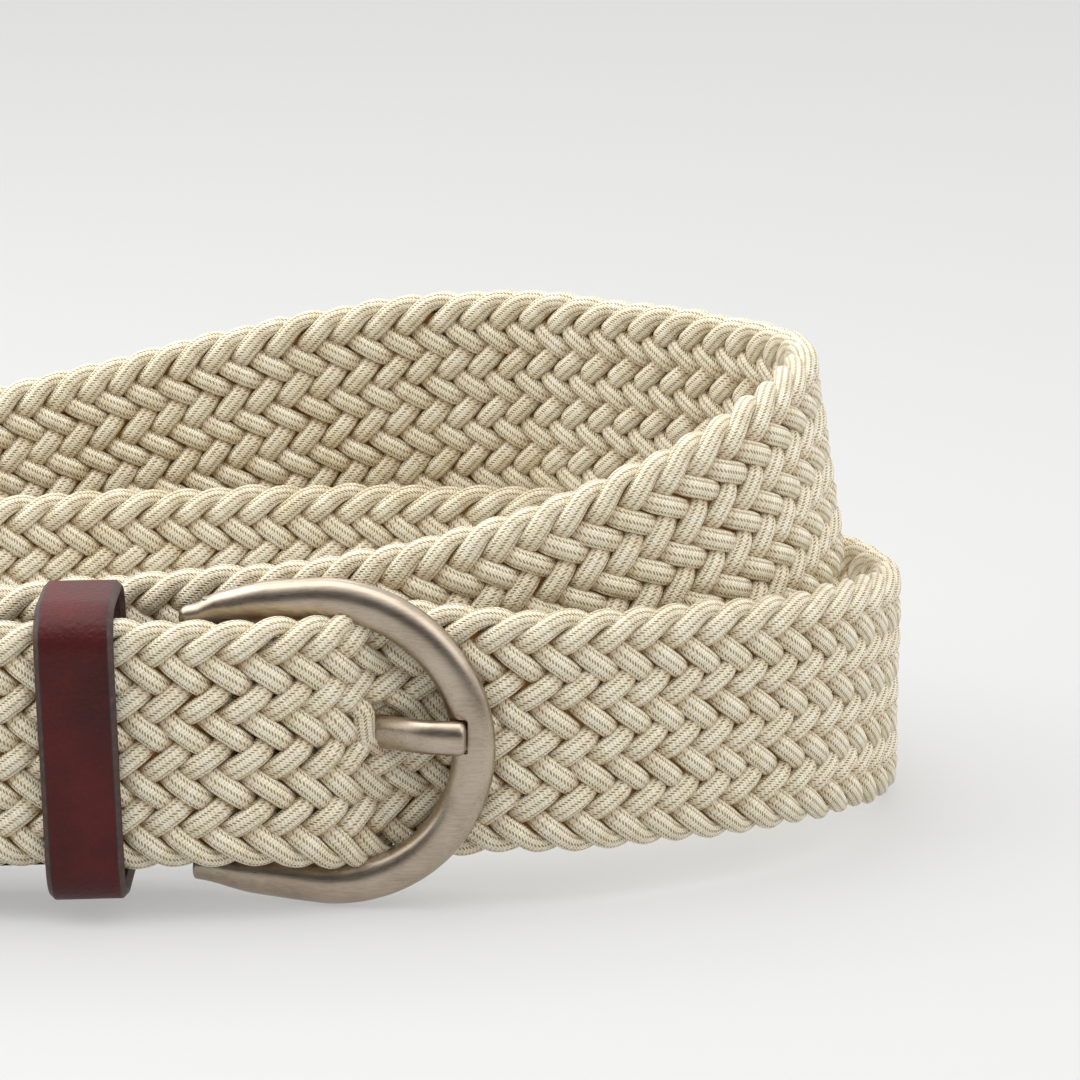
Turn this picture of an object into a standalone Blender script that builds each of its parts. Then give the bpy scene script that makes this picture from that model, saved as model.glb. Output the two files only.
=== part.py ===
# Braided stretch belt, rolled up in two turns, buckled and standing on its lower edge.
# +Z is up, the buckle faces -Y, the free end runs towards -X. Lengths are in metres.
import math

import bmesh
import bpy
import numpy as np
from mathutils import Matrix, Vector

# clearances
GAP = 0.0003                # between pieces that touch
TAIL_GAP = 0.0006           # between the tail and the tab behind it
CROSSING_GAP = 0.0009       # between the strap and the strap that it crosses
FLOOR_GAP = 0.0003          # under the buckle frame

# braided strap
STRAP_WIDTH = 0.035
STRAP_THICKNESS = 0.005
STRAP_EDGE = 0.0012         # rounding of the strap's edges
STRAP_STEP = 0.007          # length between two sections
STRAP_RIDE = 0.0006         # the strap lies this much above the middle of the buckle
STRAP_DRAWN = 0.86          # section of the strap in the tab, as a share of the whole one

# leather
LEATHER = 0.0016
TAB_LENGTH = 0.050
TAB_WIDTH = 0.031
TAB_LOWER = 0.0015          # the tab's middle lies this much below the middle of the buckle
TAB_DROOP = 0.03            # fall of the tab for each unit of its length
STRAP_INSET = 0.0055        # from the bar to the end of the braid in the tab
TIP_LENGTH = 0.038
TIP_WIDTH = 0.035
TIP_ROUND = 0.012           # length of the tip's rounded end
TIP_OVERHANG = 0.002        # leather past the end of the braid

# stitching
THREAD_RADIUS = 0.0003
STITCH_MARGIN = 0.003

# buckle
BAR_X = 0.004
BAR_RADIUS = 0.0009
BAR_SEAT = 0.0020           # depth of the bar's seats in the arms
FRAME_BAND = 0.0060         # width of the frame's section, in its plane
FRAME_THICKNESS = 0.0046
ARM_LENGTH = 0.0166         # from the bar to the start of the bow
ARM_TAPER = 0.60            # section of the arms' ends, as a share of the bow's
ARM_OVERHANG = 0.0026       # arms past the bar
ARM_CURL = 0.0010           # the arms' ends curl in by this much
CURL_SHARE = 0.45           # share of the arm that curls
ARM_CLEARANCE = 0.0007      # between the strap's edge and the arms
BOW_CLEARANCE = 0.0002      # between the strap's edge and the bow's inner edge
NOTCH_DEPTH = 0.0012        # seat for the prong in the bow

# prong
PRONG_WIDTH = 0.0050
PRONG_THICKNESS = 0.0032
PRONG_RISE = 0.0016         # the prong's end lies this much above its loop
PRONG_SETBACK = 0.0007      # from the prong's end to the middle of the bow's section
PRONG_WRAP = 0.55           # section round the bar, as a share of the shaft's
BEND_START = 0.019          # from the bar to where the shaft comes forward
PRONG_SEAT = 0.0041         # straight end of the shaft before the middle of the bow's section
SLIT_START = 0.007          # the strap is parted for the prong between these two
SLIT_END = 0.029
SLIT_MARGIN = 0.0005

# keeper
KEEPER_WIDTH = 0.0112
KEEPER_LEATHER = 0.0018
KEEPER_CLEARANCE = 0.0006
KEEPER_SLACK = 0.0015       # more room above and below the strap
KEEPER_ROUND = 0.0045       # outer rounding of the back corners
KEEPER_BEND = 0.0065        # outer rounding of the front corners
KEEPER_FROM_BAR = 0.0177    # from the bar to the keeper's middle
KEEPER_TRAVEL = 0.018       # slide towards the free end
KEEPER_LEAN = 1.3           # degrees, top towards the free end
KEEPER_JOINT = 0.0004       # slit between the keeper's two ends
STAPLE_WIRE = 0.00035
STAPLE_SPAN = 0.008
STAPLE_CLINCH = 0.0026

# places
TAIL_Y = -0.0567            # middle of the tail's straight run
TIP_FROM_TAB = 0.0009       # from the tab's end to the tip's leather
TAIL_FROM_BAR = 0.003       # from the bar to the start of the tail's straight run

# The strap's two turns, from the tab round to the tail: x, y, height of the lower edge as a share of the
# lift that takes the strap over itself, and lean of the upper edge towards the inside, in degrees.
COIL_ROUTE = (
    (-0.0740, -0.0420, 0.10, 0),
    (-0.0975, -0.0225, 0.14, 0),
    (-0.1042, 0.0030, 0.20, 0),
    (-0.0955, 0.0290, 0.24, 0),
    (-0.0675, 0.0490, 0.31, 0),
    (-0.0310, 0.0580, 0.48, 0),
    (0.0100, 0.0577, 0.755, 4),
    (0.0440, 0.0534, 0.92, 8),
    (0.0630, 0.0413, 0.965, 9),
    (0.0780, 0.0282, 0.985, 9),
    (0.0890, 0.0140, 1.01, 9),
    (0.0928, 0.0005, 1.025, 9),
    (0.0897, -0.0145, 1.005, 8),
    (0.0797, -0.0288, 0.90, 5),
    (0.0550, -0.0390, 0.635, 2),
    (0.0210, -0.0390, 0.375, 0),
    (-0.0135, -0.0368, 0.24, 0),
    (-0.0500, -0.0350, 0.14, 0),
    (-0.0780, -0.0220, 0.04, 0),
    (-0.0880, -0.0010, 0.00, 0),
    (-0.0825, 0.0195, 0.00, 0),
    (-0.0580, 0.0370, 0.00, 0),
    (-0.0225, 0.0450, 0.00, 0),
    (0.0160, 0.0490, 0.00, 0),
    (0.0545, 0.0465, 0.00, 0),
    (0.0840, 0.0350, 0.00, 0),
    (0.1007, 0.0145, 0.025, 0),
    (0.1037, -0.0035, 0.06, 0),
    (0.1002, -0.0155, 0.11, 0),
    (0.0900, -0.0300, 0.16, 0),
    (0.0711, -0.0420, 0.19, 0),
    (0.0465, -0.0492, 0.21, 0),
    (0.0330, -0.0475, 0.215, 0),
    (0.0240, -0.0483, 0.215, 0),
)

# sizes that follow from the ones above
CROSSING_LIFT = STRAP_WIDTH + CROSSING_GAP
FRAME_HEIGHT = 2 * (STRAP_WIDTH / 2 + STRAP_RIDE + BOW_CLEARANCE + FRAME_BAND)
FRAME_Z = FLOOR_GAP + FRAME_HEIGHT / 2
STRAP_Z = FRAME_Z + STRAP_RIDE
TAB_Z = FRAME_Z - TAB_LOWER
FOLD_RADIUS = STRAP_THICKNESS / 2 + GAP
BAR_Y = TAIL_Y + STRAP_THICKNESS + TAIL_GAP + LEATHER + GAP
FOLD_X = BAR_X - (FOLD_RADIUS - GAP - BAR_RADIUS)
TAB_END_X = FOLD_X - TAB_LENGTH
TAIL_START_X = BAR_X - TAIL_FROM_BAR
ARM_INNER = STRAP_WIDTH / 2 + STRAP_RIDE + ARM_CLEARANCE
ARM_END = ARM_INNER - ARM_CURL + FRAME_BAND * ARM_TAPER / 2
BOW_RADIUS = FRAME_HEIGHT / 2 - FRAME_BAND / 2
FRAME_REACH = ARM_LENGTH + BOW_RADIUS
PRONG_LENGTH = FRAME_REACH - PRONG_SETBACK
BEND_END = FRAME_REACH - PRONG_SEAT
WRAP_RADIUS = BAR_RADIUS + GAP + PRONG_THICKNESS * PRONG_WRAP / 2
TIP_END_X = TAB_END_X - TIP_FROM_TAB - TIP_LENGTH
TAIL_END_X = TIP_END_X + TIP_OVERHANG


def clear_scene():
    for obj in list(bpy.data.objects):
        bpy.data.objects.remove(obj, do_unlink=True)


def new_collection(name):
    group = bpy.data.collections.new(name)
    bpy.context.scene.collection.children.link(group)
    return group


def new_material(name, colour, roughness, metallic):
    material = bpy.data.materials.new(name)
    material.use_nodes = True
    shader = material.node_tree.nodes["Principled BSDF"]
    shader.inputs["Base Color"].default_value = (*colour, 1.0)
    shader.inputs["Roughness"].default_value = roughness
    shader.inputs["Metallic"].default_value = metallic
    return material


def add_object(name, data, group, material=None):
    obj = bpy.data.objects.new(name, data)
    group.objects.link(obj)
    if material:
        data.materials.append(material)
    if group == cutters:
        obj.hide_render = True
        obj.display_type = "WIRE"
    return obj


def poly_curve(name, points, dimensions="3D", cyclic=False, radii=None, tilts=None):
    curve = bpy.data.curves.new(name, "CURVE")
    curve.dimensions = dimensions
    spline = curve.splines.new("POLY")
    spline.points.add(len(points) - 1)
    for index, point in enumerate(points):
        spline.points[index].co = (*Vector(point).to_3d(), 1.0)
        spline.points[index].radius = radii[index] if radii else 1.0
        spline.points[index].tilt = tilts[index] if tilts else 0.0
    spline.use_cyclic_u = cyclic
    return curve


# a closed mesh from a curve, with its caps welded and its faces pointing out
def curve_mesh(curve, merge=0.00001):
    holder = add_object(curve.name, curve, cutters)
    graph = bpy.context.evaluated_depsgraph_get()
    mesh = bpy.data.meshes.new_from_object(holder.evaluated_get(graph), depsgraph=graph)
    bpy.data.objects.remove(holder, do_unlink=True)
    work = bmesh.new()
    work.from_mesh(mesh)
    bmesh.ops.remove_doubles(work, verts=work.verts, dist=merge)
    bmesh.ops.recalc_face_normals(work, faces=work.faces)
    work.to_mesh(mesh)
    work.free()
    mesh.materials.clear()
    mesh.shade_smooth()
    mesh.set_sharp_from_angle(angle=math.radians(35))
    return mesh


# a section swept along points, with its upright side kept as near to Z as the points allow
def swept_mesh(name, points, section, radii=None, tilts=None):
    profile = add_object(name + "_section", poly_curve(name + "_section", section, "2D", True), cutters)
    curve = poly_curve(name, points, radii=radii, tilts=tilts)
    curve.twist_mode = "Z_UP"
    curve.bevel_mode = "OBJECT"
    curve.bevel_object = profile
    curve.use_fill_caps = True
    mesh = curve_mesh(curve)
    bpy.data.objects.remove(profile, do_unlink=True)
    return mesh


def tube_mesh(name, points, radius):
    curve = poly_curve(name, points)
    curve.bevel_depth = radius
    curve.bevel_resolution = 1
    curve.use_fill_caps = True
    return curve_mesh(curve)


# an outline in its own XY plane, extruded the same way to both sides
def plate_mesh(name, outline, thickness):
    curve = poly_curve(name, outline, "2D", True)
    curve.fill_mode = "BOTH"
    curve.extrude = thickness / 2
    return curve_mesh(curve)


def box_cutter(name, low, high, matrix=None):
    work = bmesh.new()
    bmesh.ops.create_cube(work, size=1.0)
    size = Vector(high) - Vector(low)
    middle = (Vector(high) + Vector(low)) / 2
    fit = Matrix.Translation(middle) @ Matrix.Diagonal((*size, 1.0))
    bmesh.ops.transform(work, matrix=fit, verts=work.verts)
    mesh = bpy.data.meshes.new(name)
    work.to_mesh(mesh)
    work.free()
    obj = add_object(name, mesh, cutters)
    obj.matrix_world = matrix or Matrix.Identity(4)
    return obj


# a cylinder along Z, between two heights
def pin_mesh(name, radius, low, high, sides=24):
    work = bmesh.new()
    bmesh.ops.create_cone(work, cap_ends=True, segments=sides, radius1=radius, radius2=radius,
                          depth=high - low)
    bmesh.ops.translate(work, verts=work.verts, vec=(0, 0, (high + low) / 2))
    mesh = bpy.data.meshes.new(name)
    work.to_mesh(mesh)
    work.free()
    mesh.shade_smooth()
    mesh.set_sharp_from_angle(angle=math.radians(35))
    return mesh


def boolean(obj, other, operation="DIFFERENCE"):
    modifier = obj.modifiers.new(operation.lower(), "BOOLEAN")
    modifier.operation = operation
    modifier.object = other


def ellipse(width, height, count):
    turns = [2 * math.pi * index / count for index in range(count)]
    return [(width / 2 * math.cos(turn), height / 2 * math.sin(turn)) for turn in turns]


def arc(centre, radius, start, end, count):
    turns = [math.radians(start + (end - start) * index / count) for index in range(count + 1)]
    return [(centre[0] + radius * math.cos(turn), centre[1] + radius * math.sin(turn)) for turn in turns]


def ease(value):
    value = min(max(value, 0.0), 1.0)
    return value * value * (3 - 2 * value)


# points a step apart on a smooth curve through the rows, which leaves and arrives with the given slopes
def smooth_rows(rows, first_slope, last_slope, step):
    rows = np.array(rows, float)
    lengths = np.linalg.norm(np.diff(rows[:, :2], axis=0), axis=1)
    knots = np.concatenate(([0.0], np.cumsum(lengths)))
    rises = np.diff(rows, axis=0) / lengths[:, None]
    slopes = np.vstack((first_slope, rises, last_slope))
    count = len(rows)
    system = np.zeros((count, count))
    for index, length in enumerate(lengths):
        system[index, index] += 2 * length
        system[index + 1, index + 1] += 2 * length
        system[index, index + 1] = length
        system[index + 1, index] = length
    bends = np.linalg.solve(system, 6 * np.diff(slopes, axis=0))
    places = np.linspace(0.0, knots[-1], round(knots[-1] / step) + 1)
    spans = np.clip(np.searchsorted(knots, places) - 1, 0, count - 2)
    length = lengths[spans][:, None]
    after = (places[:, None] - knots[spans][:, None]) / length
    before = 1 - after
    curve = before * rows[spans] + after * rows[spans + 1]
    bend = (before ** 3 - before) * bends[spans] + (after ** 3 - after) * bends[spans + 1]
    return curve + bend * length ** 2 / 6


# stations of the whole strap: x, y, height of the lower edge, lean
def strap_stations():
    tab_edge = TAB_Z - STRAP_WIDTH / 2
    tail_edge = STRAP_Z - STRAP_WIDTH / 2
    start_x = BAR_X - STRAP_INSET
    tab_fall = TAB_DROOP * (BAR_X - TAB_END_X)
    coil = [(TAB_END_X, BAR_Y, tab_edge - tab_fall, 0.0)]
    coil += [(x, y, share * CROSSING_LIFT, lean) for x, y, share, lean in COIL_ROUTE]
    coil.append((TAIL_START_X, TAIL_Y, tail_edge, 0.0))
    stations = smooth_rows(coil, (-1, 0, -TAB_DROOP, 0), (-1, 0, 0, 0), STRAP_STEP)
    start = (start_x, BAR_Y, tab_edge - TAB_DROOP * (BAR_X - start_x), 0.0)
    stations = np.vstack((start, stations, (TAIL_END_X, TAIL_Y, tail_edge, 0.0)))
    stations[:, 2] = np.maximum(stations[:, 2], 0.0)
    return stations


# the strap's middle line and its lean, so that the lower edge keeps the stations' height
def strap_line():
    stations = strap_stations()
    flat = np.linalg.norm(np.gradient(stations[:, :2], axis=0), axis=1)
    slopes = np.gradient(stations[:, 2]) / flat
    leans = np.radians(stations[:, 3])
    rises = STRAP_WIDTH / 2 * np.cos(np.arctan(slopes)) * np.cos(leans)
    points = np.column_stack((stations[:, 0], stations[:, 1], stations[:, 2] + rises))
    return points, leans


# the least distance between points on the outside of the strap that lie far apart along it
def least_gap(points, leans, section):
    ahead = np.gradient(points, axis=0)
    ahead /= np.linalg.norm(ahead, axis=1)[:, None]
    side = np.cross(ahead, (0, 0, 1))
    side /= np.linalg.norm(side, axis=1)[:, None]
    up = np.cross(side, ahead)
    turn = leans[:, None]
    wide = side * np.cos(turn) - up * np.sin(turn)
    tall = up * np.cos(turn) + side * np.sin(turn)
    rim = []
    for start, end in zip(section, section[1:] + section[:1]):
        rim += [np.array(start) + (np.array(end) - np.array(start)) * share for share in np.arange(0, 1, 0.1)]
    skin = np.stack([points + wide * x + tall * y for x, y in rim], axis=1)
    along = np.concatenate(([0.0], np.cumsum(np.linalg.norm(np.diff(points, axis=0), axis=1))))
    least = STRAP_WIDTH
    for index in range(len(points)):
        far = skin[along > along[index] + 3 * STRAP_WIDTH].reshape(-1, 3)
        if len(far):
            gaps = np.linalg.norm(far[:, None] - skin[index][None], axis=2)
            least = min(least, gaps.min())
    return least


# the turn that lets the frame's bow lie on the front of the strap
def frame_tilt():
    points, leans = strap_line()
    front_run = points[-round(2 * FRAME_REACH / STRAP_STEP):]
    bow_x = BAR_X + FRAME_REACH
    strap_y = np.interp(bow_x, front_run[::-1, 0], front_run[::-1, 1])
    slope = math.atan2(strap_y - TAIL_Y, bow_x - TAIL_START_X)
    bow_y = strap_y - STRAP_THICKNESS / 2 / math.cos(slope) - GAP - FRAME_THICKNESS / 2
    return math.atan2(BAR_Y - bow_y, FRAME_REACH)


def build_strap():
    points, leans = strap_line()
    half, side = STRAP_THICKNESS / 2, STRAP_WIDTH / 2
    inner, low = half - STRAP_EDGE, side - STRAP_EDGE
    corner = [(half, low), (inner, side)]
    section = corner + [(-x, y) for x, y in corner[::-1]]
    section += [(-x, -y) for x, y in section]
    print("least gap between two turns in mm", round(least_gap(points, leans, section) * 1000, 2))
    radii = [STRAP_DRAWN, STRAP_DRAWN, (1 + STRAP_DRAWN) / 2] + [1.0] * (len(points) - 3)
    mesh = swept_mesh("braided_strap", points.tolist(), section, radii=radii, tilts=leans.tolist())
    strap = add_object("braided_strap", mesh, belt, braid)
    reach = PRONG_WIDTH / 2 + SLIT_MARGIN
    low = (BAR_X + SLIT_START, TAIL_Y - STRAP_WIDTH / 2, STRAP_Z - reach)
    high = (BAR_X + SLIT_END, BAR_Y + STRAP_THICKNESS, STRAP_Z + reach + PRONG_RISE)
    boolean(strap, box_cutter("prong_slit", low, high))
    nose = tip_nose(TIP_OVERHANG)
    outside = STRAP_WIDTH * 2
    outline = nose + [(0, -outside), (-outside, -outside), (-outside, outside), (0, outside)]
    mesh = plate_mesh("tail_trim", outline, STRAP_THICKNESS + TAIL_GAP)
    mesh.transform(Matrix.Rotation(math.radians(90), 4, "X"))
    trim = add_object("tail_trim", mesh, cutters)
    trim.location = (TIP_END_X + TIP_ROUND, TAIL_Y, STRAP_Z)
    boolean(strap, trim)


# the round end of the tail, smaller by the margin, from its upper to its lower corner
def tip_nose(margin):
    half = TIP_WIDTH / 2
    turns = [math.radians(90 + 180 * index / 18) for index in range(19)]
    return [((TIP_ROUND - margin) * math.cos(turn), half * math.sin(turn)) for turn in turns]


# a row of stitches along three sides of a leaf, sunk in a groove
def sew(leaf, name, route, matrix, material):
    groove = add_object(name + "_groove", tube_mesh(name + "_groove", route, THREAD_RADIUS + GAP), cutters)
    thread = add_object(name, tube_mesh(name, route, THREAD_RADIUS), belt, material)
    for obj in (groove, thread):
        obj.data.transform(matrix)
        obj.location = leaf.location
    boolean(leaf, groove)


def build_tab():
    outer = FOLD_RADIUS + LEATHER
    outline = [(-TAB_LENGTH, -outer)] + arc((0, 0), outer, -90, 90, 14) + [(-TAB_LENGTH, outer)]
    outline += [(-TAB_LENGTH, FOLD_RADIUS)] + arc((0, 0), FOLD_RADIUS, 90, -90, 10)
    outline.append((-TAB_LENGTH, -FOLD_RADIUS))
    droop = Matrix.Identity(4)
    droop[2][0] = TAB_DROOP
    mesh = plate_mesh("buckle_tab", outline, TAB_WIDTH)
    mesh.transform(droop)
    tab = add_object("buckle_tab", mesh, belt, leather)
    tab.location = (FOLD_X, BAR_Y, TAB_Z - TAB_DROOP * (BAR_X - FOLD_X))
    reach = PRONG_WIDTH / 2 + SLIT_MARGIN
    back = -WRAP_RADIUS * 2 - SLIT_MARGIN
    slot = box_cutter("tab_slot", (BAR_X + back, BAR_Y - outer * 2, STRAP_Z - reach),
                      (BAR_X + outer * 2, BAR_Y + outer * 2, STRAP_Z + reach))
    boolean(tab, slot)
    top = TAB_WIDTH / 2 - STITCH_MARGIN
    far = -TAB_LENGTH + STITCH_MARGIN
    near = -STITCH_MARGIN * 3
    for name, side in (("tab_thread_front", -outer), ("tab_thread_back", outer)):
        route = [(near, side, top), (far, side, top), (far, side, -top), (near, side, -top)]
        sew(tab, name, route, droop, cotton)


def build_tip():
    half = TIP_WIDTH / 2
    straight = TIP_LENGTH - TIP_ROUND
    outline = [(0, half)] + [(x - straight, z) for x, z in tip_nose(0)] + [(0, -half)]
    shrink = 1 - STITCH_MARGIN / half
    seam = [(-STITCH_MARGIN, half * shrink)]
    seam += [(x - straight, z * shrink) for x, z in tip_nose(STITCH_MARGIN)]
    seam.append((-STITCH_MARGIN, -half * shrink))
    stand = Matrix.Rotation(math.radians(90), 4, "X")
    for side, name in ((-1, "front"), (1, "back")):
        mesh = plate_mesh(f"tip_{name}_leaf", outline, LEATHER)
        mesh.transform(stand)
        leaf = add_object(f"tip_{name}_leaf", mesh, belt, leather)
        middle = STRAP_THICKNESS / 2 + GAP + LEATHER / 2
        leaf.location = (TIP_END_X + TIP_LENGTH, TAIL_Y + side * middle, STRAP_Z)
        route = [(x, side * LEATHER / 2, z) for x, z in seam]
        sew(leaf, f"tip_thread_{name}", route, Matrix.Identity(4), cotton)


def build_frame(tilt):
    centre = ARM_LENGTH
    tail = -ARM_OVERHANG
    count = 8
    arm, radii = [(tail, ARM_END)], [ARM_TAPER / 2]
    for index in range(count):
        share = (index + 0.4) / (count + 0.4)
        along = tail + (centre - tail) * share
        scale = ARM_TAPER + (1 - ARM_TAPER) * (share + ease(share)) / 2
        inner = ARM_INNER + (BOW_RADIUS - FRAME_BAND / 2 - ARM_INNER) * ease(share)
        inner -= ARM_CURL * (1 - ease(share / CURL_SHARE))
        arm.append((along, inner + FRAME_BAND / 2 * scale))
        radii.append(scale)
    bow = arc((centre, 0), BOW_RADIUS, 90, -90, 28)
    points = arm + bow + [(x, -y) for x, y in arm[::-1]]
    radii = radii + [1.0] * len(bow) + radii[::-1]
    mesh = swept_mesh("buckle_frame", points, ellipse(FRAME_BAND, FRAME_THICKNESS, 16), radii=radii)
    frame = add_object("buckle_frame", mesh, belt, nickel)
    frame.location = (BAR_X, BAR_Y, FRAME_Z)
    frame.rotation_euler = (math.radians(90), 0, -tilt)
    bpy.context.view_layer.update()
    half = ARM_INNER + BAR_SEAT
    bore = pin_mesh("bar_bore", BAR_RADIUS + GAP, -half - GAP, half + GAP)
    bore = add_object("bar_bore", bore, cutters)
    bore.location = (BAR_X, BAR_Y, FRAME_Z)
    boolean(frame, bore)
    reach = PRONG_WIDTH / 2 + SLIT_MARGIN
    seat = STRAP_RIDE + PRONG_RISE
    low = (FRAME_REACH - FRAME_BAND, seat - reach, FRAME_THICKNESS / 2 - NOTCH_DEPTH)
    high = (PRONG_LENGTH + GAP, seat + reach, FRAME_THICKNESS)
    boolean(frame, box_cutter("prong_seat", low, high, frame.matrix_world))
    bar = add_object("buckle_bar", pin_mesh("buckle_bar", BAR_RADIUS, -half, half), belt, steel)
    bar.location = (BAR_X, BAR_Y, FRAME_Z)


# the prong goes two thirds round the bar, leaves behind it and comes forward through the strap
def build_prong(tilt):
    seat = FRAME_THICKNESS / 2 - NOTCH_DEPTH + GAP + PRONG_THICKNESS / 2
    wrap = [(x, y, 0.0) for x, y in arc((0, 0), WRAP_RADIUS, -70, -270, 14)]
    radii = [PRONG_WRAP] * len(wrap)
    count = 22
    start = WRAP_RADIUS
    shaft = []
    for index in range(1, count + 1):
        along = PRONG_LENGTH * index / count
        share = ease((along - BEND_START) / (BEND_END - BEND_START))
        rise = PRONG_RISE * ease((along - SLIT_START) / (BEND_END - SLIT_START))
        shaft.append((along, start + (-seat - start) * share, rise))
        radii.append(PRONG_WRAP + (1 - PRONG_WRAP) * ease((along - start) / SLIT_START))
    mesh = swept_mesh("prong", wrap + shaft, ellipse(PRONG_THICKNESS, PRONG_WIDTH, 12), radii=radii)
    prong = add_object("prong", mesh, belt, nickel)
    prong.location = (BAR_X, BAR_Y, STRAP_Z)
    prong.rotation_euler = (0, 0, -tilt)


def build_keeper():
    front = TAIL_Y - STRAP_THICKNESS / 2 - KEEPER_CLEARANCE
    back = BAR_Y + FOLD_RADIUS + LEATHER + STAPLE_WIRE * 2 + GAP * 2 + KEEPER_CLEARANCE / 2
    centre_x = BAR_X - KEEPER_FROM_BAR
    fall = TAB_DROOP * (KEEPER_FROM_BAR + KEEPER_TRAVEL)
    low = min(TAB_Z - TAB_WIDTH / 2 - fall, STRAP_Z - STRAP_WIDTH / 2) - KEEPER_CLEARANCE - KEEPER_SLACK
    high = STRAP_Z + STRAP_WIDTH / 2 + KEEPER_CLEARANCE + GAP + KEEPER_SLACK
    middle = Vector((centre_x, (front + back) / 2, (low + high) / 2))
    depth, height = (back - front) / 2, (high - low) / 2

    def ring(offset):
        wide, tall = depth + offset, height + offset
        path = [(wide, KEEPER_JOINT / 2)]
        for x, y, start, bend in ((1, 1, 0, KEEPER_ROUND), (-1, 1, 90, KEEPER_BEND),
                                  (-1, -1, 180, KEEPER_BEND), (1, -1, 270, KEEPER_ROUND)):
            radius = bend - KEEPER_LEATHER + offset
            path += arc((x * (wide - radius), y * (tall - radius)), radius, start, start + 90, 6)
        path.append((wide, -KEEPER_JOINT / 2))
        return path

    outline = ring(KEEPER_LEATHER) + ring(0)[::-1]
    lean = Matrix.Rotation(math.radians(-KEEPER_LEAN), 4, "Y")
    place = Matrix.Translation(middle) @ lean
    place = place @ Matrix.Rotation(math.radians(90), 4, "Z") @ Matrix.Rotation(math.radians(90), 4, "X")
    keeper = add_object("keeper_loop", plate_mesh("keeper_loop", outline, KEEPER_WIDTH), belt, leather)
    keeper.matrix_world = place
    inside = depth - STAPLE_WIRE - GAP
    outside = depth + KEEPER_LEATHER + STAPLE_WIRE + GAP
    leg = STAPLE_SPAN / 2
    wire = [(inside, leg - STAPLE_CLINCH, 0), (inside, leg, 0), (outside, leg, 0)]
    wire += [(x, -y, z) for x, y, z in wire[::-1]]
    staple = add_object("keeper_staple", tube_mesh("keeper_staple", wire, STAPLE_WIRE), belt, steel)
    staple.matrix_world = place
    for sign, name in ((1, "upper"), (-1, "lower")):
        hole = pin_mesh(name + "_hole", STAPLE_WIRE + GAP, -KEEPER_LEATHER, KEEPER_LEATHER, 8)
        cutter = add_object(name + "_hole", hole, cutters)
        spot = Matrix.Translation((depth + KEEPER_LEATHER / 2, sign * leg, 0))
        cutter.matrix_world = place @ spot @ Matrix.Rotation(math.radians(90), 4, "Y")
        boolean(keeper, cutter)


clear_scene()
belt = new_collection("braided_belt")
cutters = new_collection("cutters")
braid = new_material("cream_braid", (0.72, 0.64, 0.47), 0.6, 0.0)
leather = new_material("burgundy_leather", (0.10, 0.022, 0.020), 0.5, 0.0)
cotton = new_material("brown_thread", (0.12, 0.05, 0.04), 0.8, 0.0)
nickel = new_material("satin_nickel", (0.50, 0.44, 0.38), 0.35, 1.0)
steel = new_material("plain_steel", (0.45, 0.44, 0.43), 0.4, 1.0)
build_strap()
build_tab()
build_tip()
buckle_tilt = frame_tilt()
build_frame(buckle_tilt)
build_prong(buckle_tilt)
build_keeper()
print("frame tilt in degrees", round(math.degrees(buckle_tilt), 2))
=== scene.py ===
import math
import bmesh
import bpy
import numpy as np
from mathutils import Matrix, Vector


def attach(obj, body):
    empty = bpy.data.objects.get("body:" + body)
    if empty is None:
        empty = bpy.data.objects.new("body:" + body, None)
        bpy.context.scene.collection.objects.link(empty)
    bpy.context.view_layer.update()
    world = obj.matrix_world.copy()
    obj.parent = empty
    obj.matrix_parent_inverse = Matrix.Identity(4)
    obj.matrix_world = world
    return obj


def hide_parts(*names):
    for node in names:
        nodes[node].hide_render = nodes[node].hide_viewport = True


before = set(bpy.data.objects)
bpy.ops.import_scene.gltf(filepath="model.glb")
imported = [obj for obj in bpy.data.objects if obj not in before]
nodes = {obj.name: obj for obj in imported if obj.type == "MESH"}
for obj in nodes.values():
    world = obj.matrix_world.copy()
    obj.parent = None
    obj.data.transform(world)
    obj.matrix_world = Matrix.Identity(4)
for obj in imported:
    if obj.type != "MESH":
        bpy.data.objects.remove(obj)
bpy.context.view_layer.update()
mm = 0.001
print("loaded", len(nodes), "solids")


def letGo():  # leave edit mode, nothing picked
    active = bpy.context.view_layer.objects.active
    if active and active.mode != "OBJECT":
        bpy.ops.object.mode_set(mode="OBJECT")
    bpy.ops.object.select_all(action="DESELECT")


def openMesh(piece):
    bpy.context.view_layer.objects.active = piece
    bpy.ops.object.mode_set(mode="EDIT")


def pick(piece, kind, wanted):  # selects verts, edges or faces by their place
    bpy.ops.mesh.select_mode(type=kind)
    bpy.ops.mesh.select_all(action="DESELECT")
    mesh = bmesh.from_edit_mesh(piece.data)
    for part in {"VERT": mesh.verts, "EDGE": mesh.edges, "FACE": mesh.faces}[kind]:
        if wanted(part):
            part.select_set(True)
    mesh.select_flush_mode()
    bmesh.update_edit_mesh(piece.data)


def middleOf(part):
    return sum((v.co for v in part.verts), Vector()) / len(part.verts)


def boxBetween(low, high):  # cube from corner to corner
    letGo()
    bpy.ops.mesh.primitive_cube_add(size=1, location=[(a + b) / 2 for a, b in zip(low, high)])
    piece = bpy.context.object
    piece.scale = [b - a for a, b in zip(low, high)]
    bpy.ops.object.transform_apply(location=True, rotation=True, scale=True)
    return piece


def nextRing(spot, goal, grow):  # extrudes the picked ring from spot to goal and scales it there
    move = [b - a for a, b in zip(spot, goal)]
    bpy.ops.mesh.extrude_region_move(TRANSFORM_OT_translate={"value": move})
    bpy.ops.transform.resize(value=(1, grow, grow), center_override=goal)
    return goal


def closeMesh(piece, name):
    bpy.ops.object.mode_set(mode="OBJECT")
    piece.name = name
    piece.data.name = name


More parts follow.
